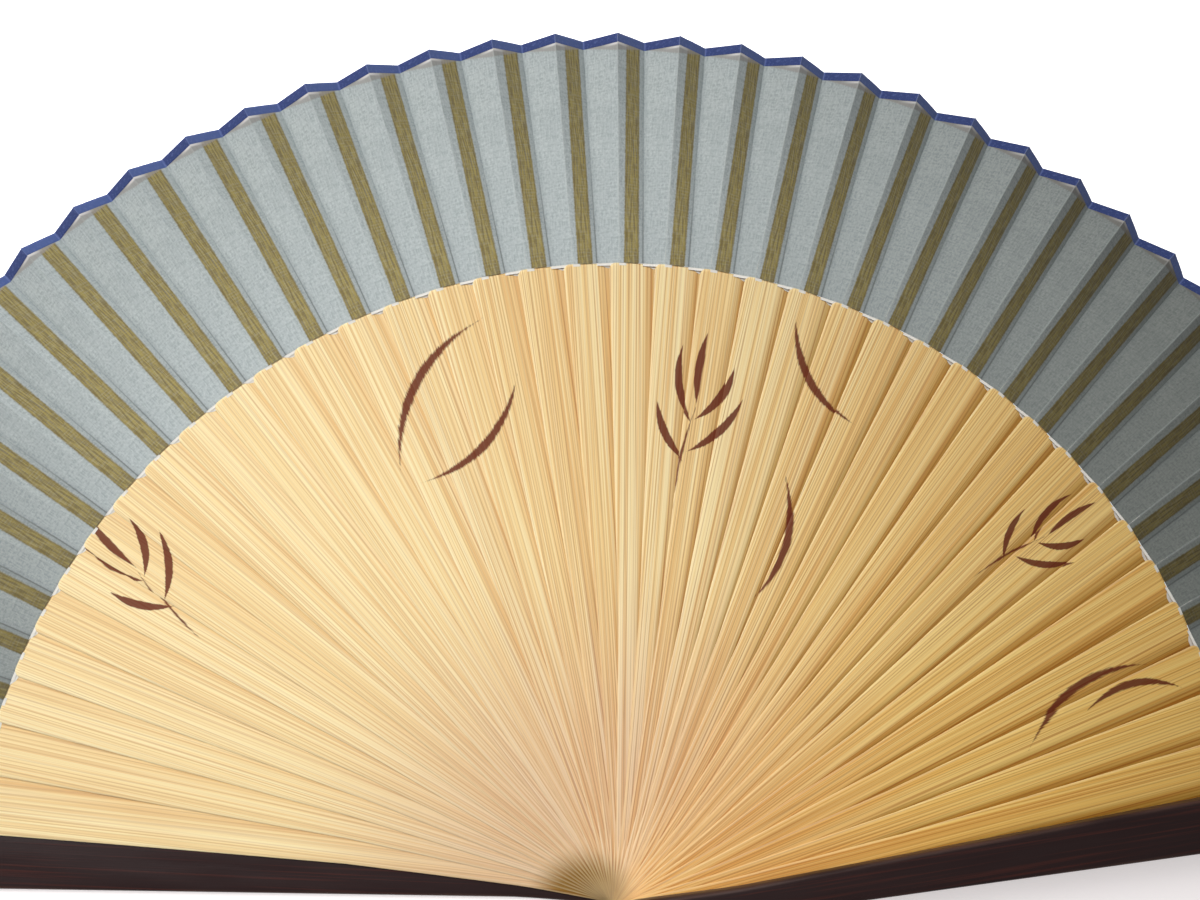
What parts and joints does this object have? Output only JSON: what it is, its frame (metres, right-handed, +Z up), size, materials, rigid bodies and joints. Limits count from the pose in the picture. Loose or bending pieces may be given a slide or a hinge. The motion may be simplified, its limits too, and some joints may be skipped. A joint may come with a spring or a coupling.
{
  "type": "folding fan",
  "caption": "Hand-held folding fan with slim bamboo ribs, two dark lacquered guards, one pin and a pleated grey-blue cloth leaf with a blue edging tape",
  "frame": {"origin": "on the pin's axis, at the flat underside of the pin's lower head, flush with the left guard's underside", "axes": "+Z up along the pin from the left guard to the right guard, +Y through the middle of the open leaf, +X towards the right guard as seen from above"},
  "size_m": [0.4124, 0.2142, 0.0283],
  "materials": {
    "bamboo": "bare smoothed bamboo, satin, with fine lengthwise grain",
    "dark_lacquer": "near-black brown lacquer on bamboo, satin, faint lengthwise streaks",
    "pin_resin": "dark resin pin with flat heads flush in the guards, satin",
    "leaf_cloth": "fine plain-woven grey-blue cloth, matt, slightly see-through",
    "blue_tape": "thin woven edging tape, deep blue, matt",
    "lining_paper": "white paper strip, matt"
  },
  "bodies": {
    "guard_left": {"guard_left": "dark_lacquer", "pivot_pin": "pin_resin", "leaf_cloth": "leaf_cloth", "edge_tape": "blue_tape", "inner_lining": "lining_paper"},
    "rib_01": {"rib_01": "bamboo"},
    "rib_02": {"rib_02": "bamboo"},
    "rib_03": {"rib_03": "bamboo"},
    "rib_04": {"rib_04": "bamboo"},
    "rib_05": {"rib_05": "bamboo"},
    "rib_06": {"rib_06": "bamboo"},
    "rib_07": {"rib_07": "bamboo"},
    "rib_08": {"rib_08": "bamboo"},
    "rib_09": {"rib_09": "bamboo"},
    "rib_10": {"rib_10": "bamboo"},
    "rib_11": {"rib_11": "bamboo"},
    "rib_12": {"rib_12": "bamboo"},
    "rib_13": {"rib_13": "bamboo"},
    "rib_14": {"rib_14": "bamboo"},
    "rib_15": {"rib_15": "bamboo"},
    "rib_16": {"rib_16": "bamboo"},
    "rib_17": {"rib_17": "bamboo"},
    "rib_18": {"rib_18": "bamboo"},
    "rib_19": {"rib_19": "bamboo"},
    "rib_20": {"rib_20": "bamboo"},
    "rib_21": {"rib_21": "bamboo"},
    "rib_22": {"rib_22": "bamboo"},
    "rib_23": {"rib_23": "bamboo"},
    "rib_24": {"rib_24": "bamboo"},
    "rib_25": {"rib_25": "bamboo"},
    "rib_26": {"rib_26": "bamboo"},
    "rib_27": {"rib_27": "bamboo"},
    "rib_28": {"rib_28": "bamboo"},
    "rib_29": {"rib_29": "bamboo"},
    "rib_30": {"rib_30": "bamboo"},
    "rib_31": {"rib_31": "bamboo"},
    "rib_32": {"rib_32": "bamboo"},
    "rib_33": {"rib_33": "bamboo"},
    "rib_34": {"rib_34": "bamboo"},
    "rib_35": {"rib_35": "bamboo"},
    "rib_36": {"rib_36": "bamboo"},
    "rib_37": {"rib_37": "bamboo"},
    "rib_38": {"rib_38": "bamboo"},
    "guard_right": {"guard_right": "dark_lacquer"}
  },
  "joints": [
    {"name": "guard_right_turn", "type": "hinge", "parent": "guard_left", "child": "guard_right", "pos_m": [0, 0, 0], "axis": [0, 0, 1], "range_deg": [0, 168.48], "deforming": ["leaf_cloth", "edge_tape", "inner_lining"]},
    {"name": "rib_01_turn", "type": "hinge", "parent": "guard_left", "child": "rib_01", "pos_m": [0, 0, 0], "axis": [0, 0, 1], "range_deg": [0, 5.52]},
    {"name": "rib_02_turn", "type": "hinge", "parent": "guard_left", "child": "rib_02", "pos_m": [0, 0, 0], "axis": [0, 0, 1], "range_deg": [0, 10.51]},
    {"name": "rib_03_turn", "type": "hinge", "parent": "guard_left", "child": "rib_03", "pos_m": [0, 0, 0], "axis": [0, 0, 1], "range_deg": [0, 14.95]},
    {"name": "rib_04_turn", "type": "hinge", "parent": "guard_left", "child": "rib_04", "pos_m": [0, 0, 0], "axis": [0, 0, 1], "range_deg": [0, 19.12]},
    {"name": "rib_05_turn", "type": "hinge", "parent": "guard_left", "child": "rib_05", "pos_m": [0, 0, 0], "axis": [0, 0, 1], "range_deg": [0, 23.3]},
    {"name": "rib_06_turn", "type": "hinge", "parent": "guard_left", "child": "rib_06", "pos_m": [0, 0, 0], "axis": [0, 0, 1], "range_deg": [0, 27.47]},
    {"name": "rib_07_turn", "type": "hinge", "parent": "guard_left", "child": "rib_07", "pos_m": [0, 0, 0], "axis": [0, 0, 1], "range_deg": [0, 31.64]},
    {"name": "rib_08_turn", "type": "hinge", "parent": "guard_left", "child": "rib_08", "pos_m": [0, 0, 0], "axis": [0, 0, 1], "range_deg": [0, 35.81]},
    {"name": "rib_09_turn", "type": "hinge", "parent": "guard_left", "child": "rib_09", "pos_m": [0, 0, 0], "axis": [0, 0, 1], "range_deg": [0, 39.99]},
    {"name": "rib_10_turn", "type": "hinge", "parent": "guard_left", "child": "rib_10", "pos_m": [0, 0, 0], "axis": [0, 0, 1], "range_deg": [0, 44.16]},
    {"name": "rib_11_turn", "type": "hinge", "parent": "guard_left", "child": "rib_11", "pos_m": [0, 0, 0], "axis": [0, 0, 1], "range_deg": [0, 48.33]},
    {"name": "rib_12_turn", "type": "hinge", "parent": "guard_left", "child": "rib_12", "pos_m": [0, 0, 0], "axis": [0, 0, 1], "range_deg": [0, 52.51]},
    {"name": "rib_13_turn", "type": "hinge", "parent": "guard_left", "child": "rib_13", "pos_m": [0, 0, 0], "axis": [0, 0, 1], "range_deg": [0, 56.68]},
    {"name": "rib_14_turn", "type": "hinge", "parent": "guard_left", "child": "rib_14", "pos_m": [0, 0, 0], "axis": [0, 0, 1], "range_deg": [0, 60.85]},
    {"name": "rib_15_turn", "type": "hinge", "parent": "guard_left", "child": "rib_15", "pos_m": [0, 0, 0], "axis": [0, 0, 1], "range_deg": [0, 65.03]},
    {"name": "rib_16_turn", "type": "hinge", "parent": "guard_left", "child": "rib_16", "pos_m": [0, 0, 0], "axis": [0, 0, 1], "range_deg": [0, 69.2]},
    {"name": "rib_17_turn", "type": "hinge", "parent": "guard_left", "child": "rib_17", "pos_m": [0, 0, 0], "axis": [0, 0, 1], "range_deg": [0, 73.37]},
    {"name": "rib_18_turn", "type": "hinge", "parent": "guard_left", "child": "rib_18", "pos_m": [0, 0, 0], "axis": [0, 0, 1], "range_deg": [0, 77.54]},
    {"name": "rib_19_turn", "type": "hinge", "parent": "guard_left", "child": "rib_19", "pos_m": [0, 0, 0], "axis": [0, 0, 1], "range_deg": [0, 81.72]},
    {"name": "rib_20_turn", "type": "hinge", "parent": "guard_left", "child": "rib_20", "pos_m": [0, 0, 0], "axis": [0, 0, 1], "range_deg": [0, 85.89]},
    {"name": "rib_21_turn", "type": "hinge", "parent": "guard_left", "child": "rib_21", "pos_m": [0, 0, 0], "axis": [0, 0, 1], "range_deg": [0, 90.06]},
    {"name": "rib_22_turn", "type": "hinge", "parent": "guard_left", "child": "rib_22", "pos_m": [0, 0, 0], "axis": [0, 0, 1], "range_deg": [0, 94.24]},
    {"name": "rib_23_turn", "type": "hinge", "parent": "guard_left", "child": "rib_23", "pos_m": [0, 0, 0], "axis": [0, 0, 1], "range_deg": [0, 98.41]},
    {"name": "rib_24_turn", "type": "hinge", "parent": "guard_left", "child": "rib_24", "pos_m": [0, 0, 0], "axis": [0, 0, 1], "range_deg": [0, 102.58]},
    {"name": "rib_25_turn", "type": "hinge", "parent": "guard_left", "child": "rib_25", "pos_m": [0, 0, 0], "axis": [0, 0, 1], "range_deg": [0, 106.75]},
    {"name": "rib_26_turn", "type": "hinge", "parent": "guard_left", "child": "rib_26", "pos_m": [0, 0, 0], "axis": [0, 0, 1], "range_deg": [0, 110.93]},
    {"name": "rib_27_turn", "type": "hinge", "parent": "guard_left", "child": "rib_27", "pos_m": [0, 0, 0], "axis": [0, 0, 1], "range_deg": [0, 115.1]},
    {"name": "rib_28_turn", "type": "hinge", "parent": "guard_left", "child": "rib_28", "pos_m": [0, 0, 0], "axis": [0, 0, 1], "range_deg": [0, 119.27]},
    {"name": "rib_29_turn", "type": "hinge", "parent": "guard_left", "child": "rib_29", "pos_m": [0, 0, 0], "axis": [0, 0, 1], "range_deg": [0, 123.45]},
    {"name": "rib_30_turn", "type": "hinge", "parent": "guard_left", "child": "rib_30", "pos_m": [0, 0, 0], "axis": [0, 0, 1], "range_deg": [0, 127.62]},
    {"name": "rib_31_turn", "type": "hinge", "parent": "guard_left", "child": "rib_31", "pos_m": [0, 0, 0], "axis": [0, 0, 1], "range_deg": [0, 131.79]},
    {"name": "rib_32_turn", "type": "hinge", "parent": "guard_left", "child": "rib_32", "pos_m": [0, 0, 0], "axis": [0, 0, 1], "range_deg": [0, 136.27]},
    {"name": "rib_33_turn", "type": "hinge", "parent": "guard_left", "child": "rib_33", "pos_m": [0, 0, 0], "axis": [0, 0, 1], "range_deg": [0, 140.74]},
    {"name": "rib_34_turn", "type": "hinge", "parent": "guard_left", "child": "rib_34", "pos_m": [0, 0, 0], "axis": [0, 0, 1], "range_deg": [0, 145.21]},
    {"name": "rib_35_turn", "type": "hinge", "parent": "guard_left", "child": "rib_35", "pos_m": [0, 0, 0], "axis": [0, 0, 1], "range_deg": [0, 149.69]},
    {"name": "rib_36_turn", "type": "hinge", "parent": "guard_left", "child": "rib_36", "pos_m": [0, 0, 0], "axis": [0, 0, 1], "range_deg": [0, 154.16]},
    {"name": "rib_37_turn", "type": "hinge", "parent": "guard_left", "child": "rib_37", "pos_m": [0, 0, 0], "axis": [0, 0, 1], "range_deg": [0, 158.63]},
    {"name": "rib_38_turn", "type": "hinge", "parent": "guard_left", "child": "rib_38", "pos_m": [0, 0, 0], "axis": [0, 0, 1], "range_deg": [0, 163.1]}
  ],
  "couplings": [
    {"joint": "rib_01_turn", "follows": "guard_right_turn", "ratio": 0.032781},
    {"joint": "rib_02_turn", "follows": "guard_right_turn", "ratio": 0.062358},
    {"joint": "rib_03_turn", "follows": "guard_right_turn", "ratio": 0.08873},
    {"joint": "rib_04_turn", "follows": "guard_right_turn", "ratio": 0.1135},
    {"joint": "rib_05_turn", "follows": "guard_right_turn", "ratio": 0.13827},
    {"joint": "rib_06_turn", "follows": "guard_right_turn", "ratio": 0.16304},
    {"joint": "rib_07_turn", "follows": "guard_right_turn", "ratio": 0.18781},
    {"joint": "rib_08_turn", "follows": "guard_right_turn", "ratio": 0.21257},
    {"joint": "rib_09_turn", "follows": "guard_right_turn", "ratio": 0.23734},
    {"joint": "rib_10_turn", "follows": "guard_right_turn", "ratio": 0.26211},
    {"joint": "rib_11_turn", "follows": "guard_right_turn", "ratio": 0.28688},
    {"joint": "rib_12_turn", "follows": "guard_right_turn", "ratio": 0.31165},
    {"joint": "rib_13_turn", "follows": "guard_right_turn", "ratio": 0.33642},
    {"joint": "rib_14_turn", "follows": "guard_right_turn", "ratio": 0.36119},
    {"joint": "rib_15_turn", "follows": "guard_right_turn", "ratio": 0.38596},
    {"joint": "rib_16_turn", "follows": "guard_right_turn", "ratio": 0.41073},
    {"joint": "rib_17_turn", "follows": "guard_right_turn", "ratio": 0.4355},
    {"joint": "rib_18_turn", "follows": "guard_right_turn", "ratio": 0.46026},
    {"joint": "rib_19_turn", "follows": "guard_right_turn", "ratio": 0.48503},
    {"joint": "rib_20_turn", "follows": "guard_right_turn", "ratio": 0.5098},
    {"joint": "rib_21_turn", "follows": "guard_right_turn", "ratio": 0.53457},
    {"joint": "rib_22_turn", "follows": "guard_right_turn", "ratio": 0.55934},
    {"joint": "rib_23_turn", "follows": "guard_right_turn", "ratio": 0.58411},
    {"joint": "rib_24_turn", "follows": "guard_right_turn", "ratio": 0.60888},
    {"joint": "rib_25_turn", "follows": "guard_right_turn", "ratio": 0.63365},
    {"joint": "rib_26_turn", "follows": "guard_right_turn", "ratio": 0.65842},
    {"joint": "rib_27_turn", "follows": "guard_right_turn", "ratio": 0.68319},
    {"joint": "rib_28_turn", "follows": "guard_right_turn", "ratio": 0.70795},
    {"joint": "rib_29_turn", "follows": "guard_right_turn", "ratio": 0.73272},
    {"joint": "rib_30_turn", "follows": "guard_right_turn", "ratio": 0.75749},
    {"joint": "rib_31_turn", "follows": "guard_right_turn", "ratio": 0.78226},
    {"joint": "rib_32_turn", "follows": "guard_right_turn", "ratio": 0.80881},
    {"joint": "rib_33_turn", "follows": "guard_right_turn", "ratio": 0.83536},
    {"joint": "rib_34_turn", "follows": "guard_right_turn", "ratio": 0.86191},
    {"joint": "rib_35_turn", "follows": "guard_right_turn", "ratio": 0.88846},
    {"joint": "rib_36_turn", "follows": "guard_right_turn", "ratio": 0.91501},
    {"joint": "rib_37_turn", "follows": "guard_right_turn", "ratio": 0.94156},
    {"joint": "rib_38_turn", "follows": "guard_right_turn", "ratio": 0.96811}
  ]
}
